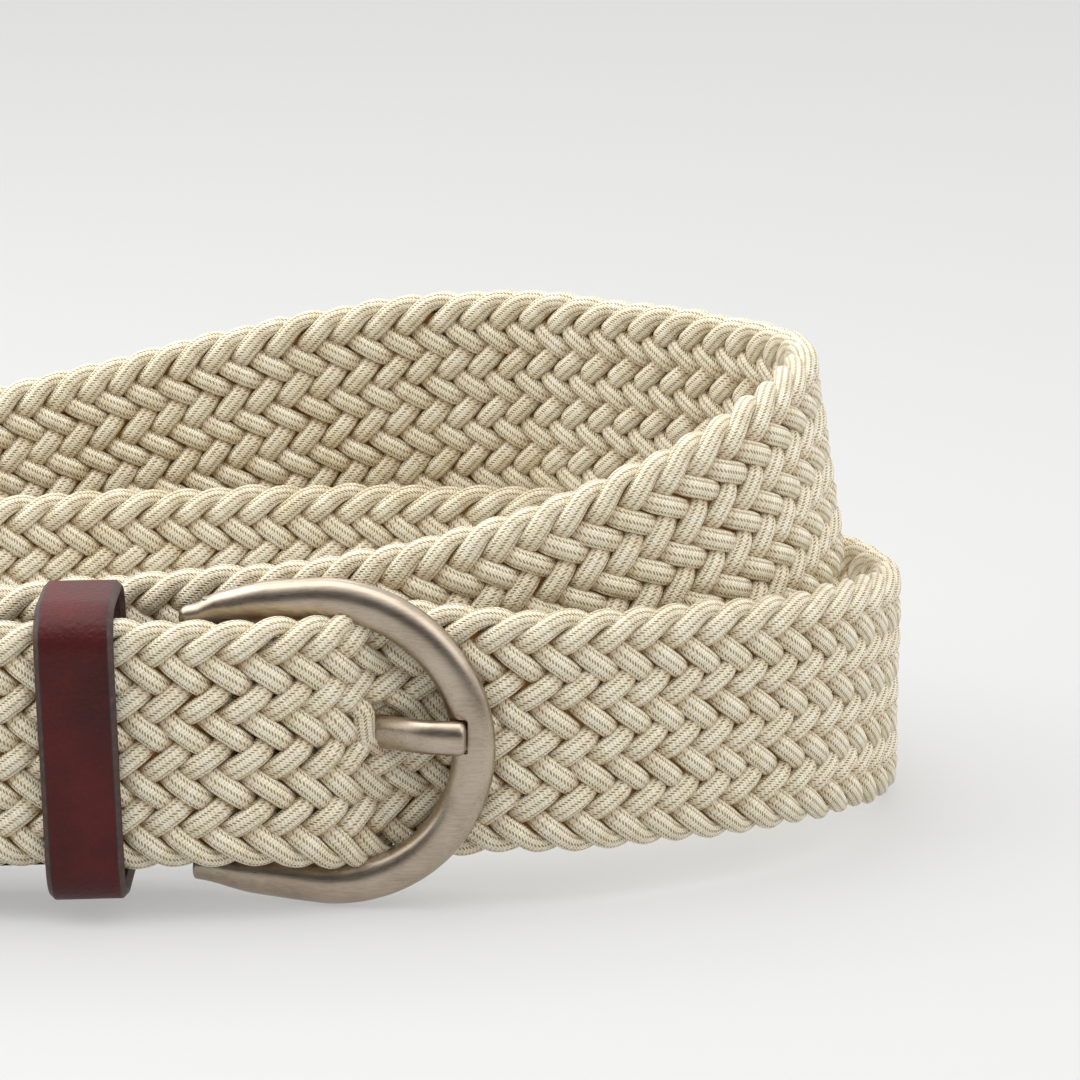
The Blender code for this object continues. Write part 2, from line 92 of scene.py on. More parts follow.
def finishWith(piece, *steps):  # modifiers in order, each applied
    letGo()
    piece.select_set(True)
    bpy.context.view_layer.objects.active = piece
    for kind, settings in steps:
        step = piece.modifiers.new(kind.lower(), kind)
        for key, value in settings.items():
            setattr(step, key, value)
        bpy.ops.object.modifier_apply(modifier=step.name)


def settle(piece, body, slot, *replaced, smooth=40):  # place into the mesh, then hand over to the frame
    letGo()
    piece.select_set(True)
    bpy.context.view_layer.objects.active = piece
    bpy.ops.object.transform_apply(location=True, rotation=True, scale=True)
    bpy.ops.object.shade_smooth_by_angle(angle=math.radians(smooth))
    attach(piece, body)
    if replaced:
        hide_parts(*replaced)


def hexColour(text):  # sRGB hex to linear
    parts = [int(text[i:i + 2], 16) / 255 for i in (1, 3, 5)]
    return tuple(c / 12.92 if c <= 0.04045 else ((c + 0.055) / 1.055) ** 2.4 for c in parts) + (1.0,)


def plug(tree, node, links):  # sockets are linked, values are set
    for socket, source in links.items():
        if isinstance(source, bpy.types.NodeSocket):
            tree.links.new(source, node.inputs[socket])
        else:
            node.inputs[socket].default_value = source


def addNode(tree, kind, links=None, stops=(), **settings):  # stops are for a ramp
    node = tree.nodes.new(kind)
    for key, value in settings.items():
        setattr(node, key, value)
    plug(tree, node, links or {})
    for i, (place, colour) in enumerate(stops):
        element = node.color_ramp.elements[i] if i < 2 else node.color_ramp.elements.new(place)
        element.position = place
        element.color = hexColour(colour)
    return node


def newMaterial(name):
    material = bpy.data.materials.new(name)
    material.use_nodes = True
    return material, material.node_tree, material.node_tree.nodes["Principled BSDF"]


# groove is painted shade in the stitch grooves, top a painted glint, core a painted warm shade where a cord
# dives
sheath = {"pitch": 0.47, "columns": 18.0, "groove": "#9c8b60", "base": "#ebddb7", "top": "#fff9ea",
          "core": "#9c6a22", "bump": 0.16}


def makeSheath():  # silky yarn braided over elastic: rows of short dashes painted dark as shade in the stitch grooves, small painted glints on the stitch tops
    material, tree, shader = newMaterial("braided polyester cord, cream")
    run = addNode(tree, "ShaderNodeUVMap", uv_map="cordRun")  # x in mm along the cord, y round it
    split = addNode(tree, "ShaderNodeSeparateXYZ", {0: run.outputs[0]})
    column = addNode(tree, "ShaderNodeMath", {0: split.outputs[1], 1: sheath["columns"]}, operation="MULTIPLY")
    part = addNode(tree, "ShaderNodeMath", {0: column.outputs[0]}, operation="FRACT")
    across = addNode(tree, "ShaderNodeMath", {0: part.outputs[0], 1: 0.5}, operation="SUBTRACT")
    row = addNode(tree, "ShaderNodeMath", {0: column.outputs[0]}, operation="FLOOR")
    odd = addNode(tree, "ShaderNodeMath", {0: row.outputs[0], 1: 2.0}, operation="MODULO")
    slant = addNode(tree, "ShaderNodeMath", {0: odd.outputs[0], 1: -0.9, 2: 0.9}, operation="MULTIPLY_ADD")
    lean = addNode(tree, "ShaderNodeMath", {0: slant.outputs[0], 1: across.outputs[0]}, operation="MULTIPLY")
    tug = addNode(tree, "ShaderNodeTexNoise", {0: run.outputs[0], 2: 0.9, 3: 2.0})  # uneven stitches
    loose = addNode(tree, "ShaderNodeMath", {0: tug.outputs[0], 1: 1.1, 2: lean.outputs[0]},
                    operation="MULTIPLY_ADD")
    along = addNode(tree, "ShaderNodeMath", {0: split.outputs[0], 1: 1 / sheath["pitch"], 2: loose.outputs[0]},
                    operation="MULTIPLY_ADD")
    angle = addNode(tree, "ShaderNodeMath", {0: along.outputs[0], 1: 2 * math.pi}, operation="MULTIPLY")
    wave = addNode(tree, "ShaderNodeMath", {0: angle.outputs[0]}, operation="SINE")
    dash = addNode(tree, "ShaderNodeMath", {0: wave.outputs[0], 1: 0.5, 2: 0.5}, operation="MULTIPLY_ADD")
    deepRow = addNode(tree, "ShaderNodeMath", {0: odd.outputs[0], 1: -0.65, 2: 1.12}, operation="MULTIPLY_ADD")
    bend = addNode(tree, "ShaderNodeMath", {0: across.outputs[0], 1: 0.75 * math.pi}, operation="MULTIPLY")
    crown = addNode(tree, "ShaderNodeMath", {0: bend.outputs[0]}, operation="COSINE")
    inRow = addNode(tree, "ShaderNodeMath", {0: dash.outputs[0], 1: crown.outputs[0]}, operation="MULTIPLY")
    groove = addNode(tree, "ShaderNodeMath", {0: inRow.outputs[0], 1: deepRow.outputs[0]}, operation="MULTIPLY")
    height = addNode(tree, "ShaderNodeMath", {0: 1.0, 1: groove.outputs[0]}, operation="SUBTRACT")
    blotch = addNode(tree, "ShaderNodeTexNoise", {0: run.outputs[0], 2: 0.5, 3: 3.0, 4: 0.65})
    shift = addNode(tree, "ShaderNodeMath", {0: blotch.outputs[0], 1: 0.8, 2: -0.42}, operation="MULTIPLY_ADD")
    mixed = addNode(tree, "ShaderNodeMath", {0: height.outputs[0], 1: shift.outputs[0]}, operation="ADD")
    # painted shade and highlight: colour runs from groove shade in the dashes to near-white glints on the
    # raised tops
    colour = addNode(tree, "ShaderNodeValToRGB", {0: mixed.outputs[0]},
                     stops=((0.12, sheath["groove"]), (1.0, sheath["top"]), (0.62, sheath["base"])))
    diveShade = addNode(tree, "ShaderNodeAttribute", attribute_name="diveShade")  # 0 on the floats, 1 where a cord dives; it sets the painted warm shade
    shade = addNode(tree, "ShaderNodeMath", {0: diveShade.outputs["Fac"], 1: 0.85}, operation="MULTIPLY")
    # colour mixed toward the brown of core: painted warm shade where a cord dives into the weave
    diveShaded = addNode(tree, "ShaderNodeMix",
                   {0: shade.outputs[0], 6: colour.outputs[0], 7: hexColour(sheath["core"])}, data_type="RGBA")
    bump = addNode(tree, "ShaderNodeBump",
                   {"Height": height.outputs[0], "Distance": sheath["bump"] * mm, "Strength": 0.8})
    plug(tree, shader, {"Base Color": diveShaded.outputs[2], "Normal": bump.outputs[0], "Roughness": 0.36,
                        "Specular IOR Level": 0.6, "Sheen Weight": 0.12, "Sheen Roughness": 0.35})
    return material


def makeGapShadeBand():  # band inside the braid that closes its holes: dull tan yarn, its colour painted warm shade for the gaps
    material, tree, shader = newMaterial("tan band, painted gap shade")
    place = addNode(tree, "ShaderNodeTexCoord").outputs["Object"]
    ribs = addNode(tree, "ShaderNodeTexNoise", {0: place, 2: 1000 / 0.8, 3: 3.0})
    colour = addNode(tree, "ShaderNodeValToRGB", {0: ribs.outputs[0]},
                     stops=((0.35, "#8f5c22"), (0.7, "#b5803e")))
    bump = addNode(tree, "ShaderNodeBump", {"Height": ribs.outputs[0], "Distance": 0.1 * mm, "Strength": 0.6})
    plug(tree, shader, {"Base Color": colour.outputs[0], "Normal": bump.outputs[0], "Roughness": 0.85})
    return material


hide = {"dark": "#350706", "mid": "#460c0a", "light": "#5b1612", "pore": 0.6, "cloud": 14.0, "grain": 0.14}


def makeLeather():  # aniline calf, burgundy brown: fine closed pores, a low wax shine, clouded dye
    material, tree, shader = newMaterial("smooth calf leather, burgundy")
    place = addNode(tree, "ShaderNodeTexCoord").outputs["Object"]
    cloud = addNode(tree, "ShaderNodeTexNoise", {0: place, 2: 1000 / hide["cloud"], 3: 4.0, 4: 0.6})
    pores = addNode(tree, "ShaderNodeTexVoronoi", {0: place, 2: 1000 / hide["pore"]}, feature="SMOOTH_F1")
    fine = addNode(tree, "ShaderNodeTexNoise", {0: place, 2: 1000 / 0.35, 3: 3.0})
    blend = addNode(tree, "ShaderNodeMath", {0: fine.outputs[0], 1: 0.3, 2: cloud.outputs[0]},
                    operation="MULTIPLY_ADD")
    colour = addNode(tree, "ShaderNodeValToRGB", {0: blend.outputs[0]},
                     stops=((0.45, hide["dark"]), (0.9, hide["light"]), (0.65, hide["mid"])))
    skin = addNode(tree, "ShaderNodeMath", {0: pores.outputs[0], 1: fine.outputs[0]}, operation="ADD")
    bump = addNode(tree, "ShaderNodeBump",
                   {"Height": skin.outputs[0], "Distance": hide["grain"] * mm, "Strength": 0.5})
    rough = addNode(tree, "ShaderNodeMapRange", {0: cloud.outputs[0], 1: 0.3, 2: 0.7, 3: 0.38, 4: 0.5})
    plug(tree, shader, {"Base Color": colour.outputs[0], "Normal": bump.outputs[0],
                        "Roughness": rough.outputs[0], "Specular IOR Level": 0.3})
    return material


def makeEdgePaint(name, dark, mid, light):  # thick painted edge, nearly black, rubbed brown on its round
    material, tree, shader = newMaterial(name)
    place = addNode(tree, "ShaderNodeTexCoord").outputs["Object"]
    rub = addNode(tree, "ShaderNodeTexNoise", {0: place, 2: 1000 / 1.2, 3: 4.0})
    colour = addNode(tree, "ShaderNodeValToRGB", {0: rub.outputs[0]},
                     stops=((0.35, dark), (0.8, light), (0.6, mid)))
    bump = addNode(tree, "ShaderNodeBump", {"Height": rub.outputs[0], "Distance": 0.06 * mm, "Strength": 0.5})
    plug(tree, shader, {"Base Color": colour.outputs[0], "Normal": bump.outputs[0], "Roughness": 0.45})
    return material


def makeFlesh():  # suede back of the hide: short nap, dry and matt
    material, tree, shader = newMaterial("leather flesh side, brown")
    place = addNode(tree, "ShaderNodeTexCoord").outputs["Object"]
    nap = addNode(tree, "ShaderNodeTexNoise", {0: place, 2: 1000 / 0.4, 3: 5.0, 4: 0.7})
    colour = addNode(tree, "ShaderNodeValToRGB", {0: nap.outputs[0]},
                     stops=((0.3, "#2e1817"), (0.75, "#6a443c"), (0.55, "#4a2a27")))
    bump = addNode(tree, "ShaderNodeBump", {"Height": nap.outputs[0], "Distance": 0.12 * mm, "Strength": 0.7})
    plug(tree, shader, {"Base Color": colour.outputs[0], "Normal": bump.outputs[0], "Roughness": 0.9,
                        "Sheen Weight": 0.3})
    return material


plating = {"tone": "#bcae9d", "worn": "#a39483", "line": 0.22, "stroke": 9.0}


def makeNickel(name, tone, worn, rough):  # satin brushed plating: fine hairlines, blurred reflections
    material, tree, shader = newMaterial(name)
    place = addNode(tree, "ShaderNodeTexCoord").outputs["Object"]
    across = 1000 / plating["line"]
    comb = addNode(tree, "ShaderNodeMapping", {0: place, 3: (1000 / plating["stroke"], across, across)})
    hair = addNode(tree, "ShaderNodeTexNoise", {0: comb.outputs[0], 2: 1.0, 3: 3.0, 4: 0.6})
    cloud = addNode(tree, "ShaderNodeTexNoise", {0: place, 2: 1000 / 6.0, 3: 3.0})
    mixed = addNode(tree, "ShaderNodeMath", {0: hair.outputs[0], 1: cloud.outputs[0]}, operation="ADD")
    half = addNode(tree, "ShaderNodeMath", {0: mixed.outputs[0], 1: 0.5}, operation="MULTIPLY")
    colour = addNode(tree, "ShaderNodeValToRGB", {0: half.outputs[0]}, stops=((0.35, worn), (0.6, tone)))
    level = addNode(tree, "ShaderNodeMapRange",
                    {0: hair.outputs[0], 1: 0.3, 2: 0.7, 3: rough - 0.03, 4: rough + 0.05})
    bump = addNode(tree, "ShaderNodeBump", {"Height": hair.outputs[0], "Distance": 0.01 * mm, "Strength": 0.14})
    plug(tree, shader, {"Base Color": colour.outputs[0], "Roughness": level.outputs[0],
                        "Normal": bump.outputs[0], "Metallic": 1.0})
    return material


def makeThread():  # waxed polyester thread: two plies, dull
    material, tree, shader = newMaterial("waxed sewing thread, brown")
    place = addNode(tree, "ShaderNodeTexCoord").outputs["Object"]
    tilt = addNode(tree, "ShaderNodeMapping", {0: place, 2: (0.5, 0.5, 0.6)})
    ply = addNode(tree, "ShaderNodeTexWave", {0: tilt.outputs[0], 1: 1000 / 2.0, 2: 0.6, 3: 1.0})
    colour = addNode(tree, "ShaderNodeValToRGB", {0: ply.outputs[0]},
                     stops=((0.1, "#3b211c"), (0.8, "#6e463a")))
    bump = addNode(tree, "ShaderNodeBump", {"Height": ply.outputs[0], "Distance": 0.06 * mm, "Strength": 0.8})
    plug(tree, shader, {"Base Color": colour.outputs[0], "Normal": bump.outputs[0], "Roughness": 0.7})
    return material


cordSheath = makeSheath()
elastic = makeGapShadeBand()
leather = makeLeather()
edgePaint = makeEdgePaint("painted leather edge, black brown", "#170d0d", "#211314", "#38211f")
edgeRub = makeEdgePaint("painted leather edge, rubbed", "#3a2522", "#4a322d", "#664b43")
flesh = makeFlesh()
nickel = makeNickel("satin brushed nickel plating, champagne", plating["tone"], plating["worn"], 0.30)
steel = makeNickel("drawn steel wire, bright", "#b9b6b2", "#9d9a97", 0.35)
thread = makeThread()
print("materials ready")


strap = {"width": 35 * mm, "lift": 35.9 * mm, "tabEdge": 5.6 * mm, "tailEdge": 7.7 * mm, "droop": 0.03,
         "drawn": 0.86, "tabLong": 100 * mm, "tabFade": 7 * mm, "floorGap": 0.7 * mm,
         "barX": 4.0 * mm, "barY": -49.2 * mm, "tabEndX": -47.6 * mm, "startX": -1.5 * mm,
         "tailX": 1.0 * mm, "tailY": -56.7 * mm, "tipX": -84.5 * mm, "noseX": -74.5 * mm, "noseLong": 12 * mm,
         "route": ((-74.0, -42.0, 0.10, 0), (-97.5, -22.5, 0.14, 0), (-104.2, 3.0, 0.20, 0),
                   (-95.5, 29.0, 0.24, 0), (-67.5, 49.0, 0.31, 0), (-31.0, 58.0, 0.48, 0),
                   (10.0, 57.7, 0.755, 4), (44.0, 53.4, 0.92, 8), (63.0, 41.3, 0.965, 9),
                   (78.0, 28.2, 0.985, 9), (89.0, 14.0, 1.01, 9), (92.8, 0.5, 1.025, 9),
                   (89.7, -14.5, 1.005, 8), (79.7, -28.8, 0.90, 5), (55.0, -39.0, 0.635, 2),
                   (21.0, -39.0, 0.375, 0), (-13.5, -36.8, 0.27, 0), (-50.0, -35.0, 0.14, 0),
                   (-78.0, -22.0, 0.04, 0), (-88.0, -1.0, 0, 0), (-82.5, 19.5, 0, 0), (-58.0, 37.0, 0, 0),
                   (-22.5, 45.0, 0, 0), (16.0, 49.0, 0, 0), (54.5, 46.5, 0, 0), (84.0, 35.0, 0, 0),
                   (100.7, 14.5, 0.025, 0), (103.7, -3.5, 0.06, 0), (100.2, -15.5, 0.11, 0),
                   (90.0, -30.0, 0.16, 0), (71.1, -42.0, 0.19, 0), (46.5, -49.2, 0.21, 0),
                   (33.0, -47.5, 0.215, 0), (24.0, -48.3, 0.215, 0))}


def smoothRun(rows, first, last, step):  # clamped cubic through the rows
    rows = np.array(rows, float)
    span = np.linalg.norm(np.diff(rows[:, :2], axis=0), axis=1)
    knots = np.concatenate(([0.0], np.cumsum(span)))
    slopes = np.vstack((first, np.diff(rows, axis=0) / span[:, None], last))
    system = np.zeros((len(rows), len(rows)))
    for i, length in enumerate(span):
        system[i, i] += 2 * length
        system[i + 1, i + 1] += 2 * length
        system[i, i + 1] = system[i + 1, i] = length
    bends = np.linalg.solve(system, 6 * np.diff(slopes, axis=0))
    at = np.linspace(0.0, knots[-1], round(knots[-1] / step) + 1)
    i = np.clip(np.searchsorted(knots, at) - 1, 0, len(rows) - 2)
    length = span[i][:, None]
    after = (at[:, None] - knots[i][:, None]) / length
    before = 1 - after
    curve = before * rows[i] + after * rows[i + 1]
    return curve + ((before ** 3 - before) * bends[i] + (after ** 3 - after) * bends[i + 1]) * length ** 2 / 6


def strapRun():  # middle line of the strap with its axes, every half millimetre
    step = 0.5 * mm
    tabZ = strap["tabEdge"] - strap["droop"] * (strap["barX"] - strap["tabEndX"])
    startZ = strap["tabEdge"] - strap["droop"] * (strap["barX"] - strap["startX"])
    rows = [(strap["tabEndX"], strap["barY"], tabZ, 0.0)]
    rows += [(x * mm, y * mm, share * strap["lift"], lean) for x, y, share, lean in strap["route"]]
    rows.append((strap["tailX"], strap["tailY"], strap["tailEdge"], 0.0))
    coil = smoothRun(rows, (-1, 0, -strap["droop"], 0), (-1, 0, 0, 0), step)
    count = round((strap["startX"] - strap["tabEndX"]) / step)
    tab = np.linspace((strap["startX"], strap["barY"], startZ, 0.0), coil[0], count, endpoint=False)
    count = round((strap["tailX"] - strap["tipX"]) / step)
    tail = np.linspace(coil[-1], (strap["tipX"], strap["tailY"], strap["tailEdge"], 0.0), count + 1)[1:]
    line = np.vstack((tab, coil, tail))
    line[:, 2] = np.maximum(line[:, 2], strap["floorGap"])
    soft = np.hanning(19) / np.hanning(19).sum()  # eases the lower edge onto the floor
    padded = np.concatenate((np.full(9, line[0, 2]), line[:, 2], np.full(9, line[-1, 2])))
    line[10:-10, 2] = np.convolve(padded, soft, "valid")[10:-10]
    flat = np.linalg.norm(np.gradient(line[:, :2], axis=0), axis=1)
    slope = np.gradient(line[:, 2]) / flat
    lean = np.radians(line[:, 3])[:, None]
    middle = line[:, :3].copy()
    middle[:, 2] += strap["width"] / 2 * np.cos(np.arctan(slope)) * np.cos(lean[:, 0])
    ahead = np.gradient(middle, axis=0)
    ahead /= np.linalg.norm(ahead, axis=1)[:, None]
    side = np.cross(ahead, (0, 0, 1))
    side /= np.linalg.norm(side, axis=1)[:, None]
    up = np.cross(side, ahead)
    inward = side * np.cos(lean) - up * np.sin(lean)
    tall = up * np.cos(lean) + side * np.sin(lean)
    length = np.concatenate(([0.0], np.cumsum(np.linalg.norm(np.diff(middle, axis=0), axis=1))))
    return length, middle, -inward, tall


braid = {"cords": 17, "spread": 35.0 * mm, "lay": 45.9 * mm, "rise": 1.22 * mm, "halfWide": 1.62 * mm,
         "halfThick": 1.3 * mm, "edgeTurn": 2.7 * mm, "step": 0.62 * mm, "sides": 12, "groups": (4, 4, 3, 3, 3),
         "prongX": 28.6 * mm, "prongZ": 26.1 * mm, "partWide": 3.4 * mm, "partLong": 1.6, "partFade": 7 * mm,
         "crown": 3.6 * mm, "crownX": 23 * mm, "crownReach": 16 * mm, "slack": 0.045, "slackX": 18 * mm,
         "slackReach": 50 * mm, "frontLong": 200 * mm, "prongReach": 160 * mm, "tailLong": 170 * mm,
         "tailEase": 50 * mm, "tailRise": 0.85 * mm, "tailWide": 0.025, "edgeCords": 1.5, "edgeFade": 1.6,
         "edgeNarrow": 0.13, "edgeThick": 0.10, "stray": 0.14 * mm, "strayLong": 17 * mm, "wobble": 0.10 * mm,
         "wobbleLong": 6.1 * mm, "grip": 0.05, "gripLong": 23 * mm, "partReach": 40 * mm, "partAlong": 0.6,
         "forward": ((1, 5, 10, 15, 19, 22, 25, 28, 31), (0, 0.5, 2.0, 3.5, 4.3, 4.0, 2.6, 0.8, 0)),
         "sag": ((8, 14, 20, 27, 33, 40, 48), (0, 0.6, 1.5, 3.0, 2.4, 1.2, 0)),  # both: x, then the push, in mm
         "sagWide": 17 * mm}


def hump(t):  # 1 in the middle, 0 from -1 and 1 on
    return np.cos(np.clip(t, -1, 1) * math.pi / 2) ** 2


def heldByTab(x, s):  # 1 between the tab's leaves, fading past their end
    return np.clip((x - strap["tabEndX"]) / strap["tabFade"] + 1.5, 0, 1) * (s < strap["tabLong"])


def cordPath(k, length, middle, outward, tall, parting):  # one strand, from the tab to the tip
    total, lay, spread = length[-1], braid["lay"], braid["spread"]
    count = int(total / braid["step"])
    s = np.linspace(0.0, total, count + 1)
    turn = np.mod(s / lay + 2 * k / braid["cords"], 2.0)
    falling = turn < 1.0
    share = np.where(falling, turn, 2.0 - turn)
    column = share * braid["cords"]
    steep = spread / lay
    reach = braid["edgeTurn"]
    fromTop, fromLow = share * lay, (1 - share) * lay  # along the strap, from the nearest turns
    w = spread / 2 - steep * np.where(fromTop < reach, reach / 2 + fromTop ** 2 / (2 * reach), fromTop)
    w = np.where(fromLow < reach, -spread / 2 + steep * (reach / 2 + fromLow ** 2 / (2 * reach)), w)
    wave = np.cos(2 * math.pi * (column - 1.5) / 4)
    n = 1.5 * wave - 0.5 * wave ** 3
    n = 0.5 * n + 0.5 * (1.5 * n - 0.5 * n ** 3)  # floats stay up, then dive steeply
    border = braid["edgeCords"]
    fromEnd = braid["cords"] - column
    n = np.where(column < border, np.cos(math.pi / 2 * (border - column) / border), n)
    n = np.where(fromEnd < border, -np.cos(math.pi / 2 * (border - fromEnd) / border), n)
    n = np.where(falling, n, -n)
    own = 1.7 * k  # every strand is pulled a little differently
    w = w + braid["stray"] * np.sin(s / braid["strayLong"] + own)
    w = w + braid["wobble"] * np.sin(s / braid["wobbleLong"] + 2.3 * own)
    tight = 1 + braid["grip"] * np.sin(s / braid["gripLong"] + 3.1 * own)
    edge = np.clip(1 - np.minimum(column, fromEnd) / braid["edgeFade"], 0, 1)
    halfWide = braid["halfWide"] * (1 - braid["edgeNarrow"] * edge) * (1 + 0.04 * np.abs(n)) / tight
    halfThick = braid["halfThick"] * (1 + braid["edgeThick"] * edge) * (1 + 0.03 * np.abs(n)) * tight
    # how deep each point lies in the weave, used only for the painted warm shade
    diveShade = 1 - np.abs(n)
    diveShade = np.where(edge > 0, diveShade * (1 - edge), diveShade)  # the turned edges get no painted shade
    n = n * braid["rise"]
    s0, w0 = parting  # the strands part round the prong
    ds, dw = s - s0, w - w0
    far = np.hypot(ds / braid["partLong"], dw) + 1e-6
    push = np.sqrt(far ** 2 + braid["partWide"] ** 2 * np.exp(-(far / braid["partFade"]) ** 2)) / far
    near = np.abs(ds) < braid["partReach"]
    s = np.where(near, s0 + ds * (1 + (push - 1) * braid["partAlong"]), s)
    w = np.where(near, w0 + dw * push, w)
    place = np.column_stack([np.interp(s, length, middle[:, i]) for i in range(3)])
    face = np.column_stack([np.interp(s, length, outward[:, i]) for i in range(3)])
    high = np.column_stack([np.interp(s, length, tall[:, i]) for i in range(3)])
    slack = hump((place[:, 0] - braid["slackX"]) / braid["slackReach"]) * (s < total / 2) * (place[:, 1] > 0)
    w = w * (1 + braid["slack"] * slack)  # looser where it climbs over itself
    drawn = 1 - (1 - strap["drawn"]) * heldByTab(place[:, 0], s)  # drawn together in the tab
    w, n = w * drawn, n * drawn
    tail = np.clip((s - total + braid["tailLong"]) / braid["tailEase"], 0, 1)
    place = place + high * (braid["tailRise"] * tail)[:, None]  # rides up in the keeper
    onFront = s > total - braid["frontLong"]  # inside the buckle the prong lifts the middle of the strap
    swell = hump((place[:, 0] - braid["crownX"]) / braid["crownReach"])
    swell = swell * hump(w / (strap["width"] / 2)) * onFront
    # the strap keeps to the front, then dives behind the bow
    forward = np.interp(place[:, 0] / mm, *braid["forward"]) * mm * onFront
    n = n + forward + np.maximum(braid["crown"] * swell - forward * (swell > 0), 0)
    sag = np.interp(place[:, 0] / mm, *braid["sag"]) * mm * onFront  # its lower edge hangs down to the bow
    w = w * (1 + braid["tailWide"] * tail) - sag * np.clip(-w / braid["sagWide"], 0, 1)
    nose = np.clip((place[:, 0] - strap["noseX"] + strap["noseLong"]) / strap["noseLong"], 0, 1)
    squeeze = np.sqrt(np.clip(1 - (1 - nose) ** 2, 0.02, 1)) * 0.97 + 0.03 * (nose >= 1)
    w = w * np.where(onFront & (place[:, 0] < strap["noseX"]), squeeze, 1.0)
    return place + high * w[:, None] + face * n[:, None], face, halfWide, halfThick, diveShade


def cordMesh(name, strands):
    sides = braid["sides"]
    around = np.arange(sides) * 2 * math.pi / sides
    swell = lambda x: np.sign(x) * np.abs(x) ** 0.95  # a little squarer than an ellipse
    points, faces, uvs, diveShades = [], [], [], []
    base = 0
    for path, face, halfWide, halfThick, diveShade in strands:
        ahead = np.gradient(path, axis=0)
        ahead /= np.linalg.norm(ahead, axis=1)[:, None]
        out = face - ahead * np.sum(face * ahead, axis=1)[:, None]
        out /= np.linalg.norm(out, axis=1)[:, None]
        wide = np.cross(ahead, out)
        ring = (path[:, None] + wide[:, None] * (halfWide[:, None] * swell(np.cos(around)))[:, :, None]
                + out[:, None] * (halfThick[:, None] * swell(np.sin(around)))[:, :, None])
        along = np.concatenate(([0.0], np.cumsum(np.linalg.norm(np.diff(path, axis=0), axis=1)))) / mm
        count = len(path)
        points += [ring.reshape(-1, 3), path[:1], path[-1:]]
        row = base + np.arange(count - 1)[:, None] * sides
        j = np.arange(sides)[None]
        after = (j + 1) % sides
        quads = np.stack((row + j, row + after, row + sides + after, row + sides + j), axis=2).reshape(-1, 4)
        u0 = np.broadcast_to(along[:-1, None], (count - 1, sides))
        u1 = np.broadcast_to(along[1:, None], (count - 1, sides))
        v0 = np.broadcast_to(j / sides, (count - 1, sides))
        v1 = v0 + 1 / sides
        uvs.append(np.stack((u0, v0, u0, v1, u1, v1, u1, v0), axis=2).reshape(-1, 2))
        head, tail = base + count * sides, base + count * sides + 1
        last = base + (count - 1) * sides
        caps = [(head, base + (i + 1) % sides, base + i) for i in range(sides)]
        caps += [(tail, last + i, last + (i + 1) % sides) for i in range(sides)]
        uvs.append(np.array([(along[0], 0.5)] * 3 * sides + [(along[-1], 0.5)] * 3 * sides))
        faces += quads.tolist() + caps
        diveShades.append(np.concatenate((np.repeat(diveShade, sides), diveShade[:1], diveShade[-1:])))
        base += count * sides + 2
    mesh = bpy.data.meshes.new(name)
    mesh.from_pydata(np.concatenate(points).tolist(), [], faces)
    mesh.uv_layers.new(name="cordRun").data.foreach_set("uv", np.concatenate(uvs).ravel())
    mesh.attributes.new("diveShade", "FLOAT", "POINT").data.foreach_set("value", np.concatenate(diveShades))
    mesh.polygons.foreach_set("use_smooth", [True] * len(mesh.polygons))
    mesh.materials.append(cordSheath)
    piece = bpy.data.objects.new(name, mesh)
    bpy.context.scene.collection.objects.link(piece)
    return piece


length, middle, outward, tall = strapRun()
front = length > length[-1] - braid["prongReach"]
spot = np.argmin(np.where(front, np.abs(middle[:, 0] - braid["prongX"]), 1))
parting = (length[spot], braid["prongZ"] - middle[spot, 2])
strands = [cordPath(k, length, middle, outward, tall, parting) for k in range(braid["cords"])]
taken = 0
for i, size in enumerate(braid["groups"]):
    piece = cordMesh("braid_cords_%d" % (i + 1), strands[taken:taken + size])
    taken += size
    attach(piece, "belt")
    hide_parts("braided_strap")
cordLong = [np.linalg.norm(np.diff(strand[0], axis=0), axis=1).sum() for strand in strands]
print("strap braided, %.3f m long, cords %.3f to %.3f m" % (length[-1], min(cordLong), max(cordLong)))

stuffer = {"wide": 30.5 * mm, "thick": 1.4 * mm, "rows": 8, "every": 5, "inset": 12, "tabNarrow": 0.2,
           "slotLong": 13 * mm, "slotWide": 6 * mm}


def makeStuffer(length, middle, tall, parting):  # band in the middle of the braid, open for the prong; seen through the braid's holes as painted warm shade
    at = np.arange(stuffer["inset"], len(length) - stuffer["inset"] - 10, stuffer["every"])
    offsets = np.linspace(-0.5, 0.5, stuffer["rows"] + 1) * stuffer["wide"]
    narrow = 1 - stuffer["tabNarrow"] * heldByTab(middle[at, 0], length[at])
    points = middle[at][:, None] + tall[at][:, None] * offsets[None, :, None] * narrow[:, None, None]
    faces = []
    for i in range(len(at) - 1):
        for j in range(stuffer["rows"]):
            ds = (length[at[i]] + length[at[i + 1]]) / 2 - parting[0]
            dw = (offsets[j] + offsets[j + 1]) / 2 - parting[1]
            if abs(ds) > stuffer["slotLong"] or abs(dw) > stuffer["slotWide"]:
                first = i * (stuffer["rows"] + 1) + j
                faces.append((first, first + 1, first + stuffer["rows"] + 2, first + stuffer["rows"] + 1))
    mesh = bpy.data.meshes.new("braid_core")
    mesh.from_pydata(points.reshape(-1, 3).tolist(), [], faces)
    # the band's tan-brown colour is painted warm shade seen in the gaps between the cords
    mesh.materials.append(elastic)
    piece = bpy.data.objects.new("braid_core", mesh)
    bpy.context.scene.collection.objects.link(piece)
    finishWith(piece, ("SOLIDIFY", {"thickness": stuffer["thick"], "offset": 0}))
    settle(piece, "belt", "cream_braid", "braided_strap")


makeStuffer(length, middle, tall, parting)
print("core laid")


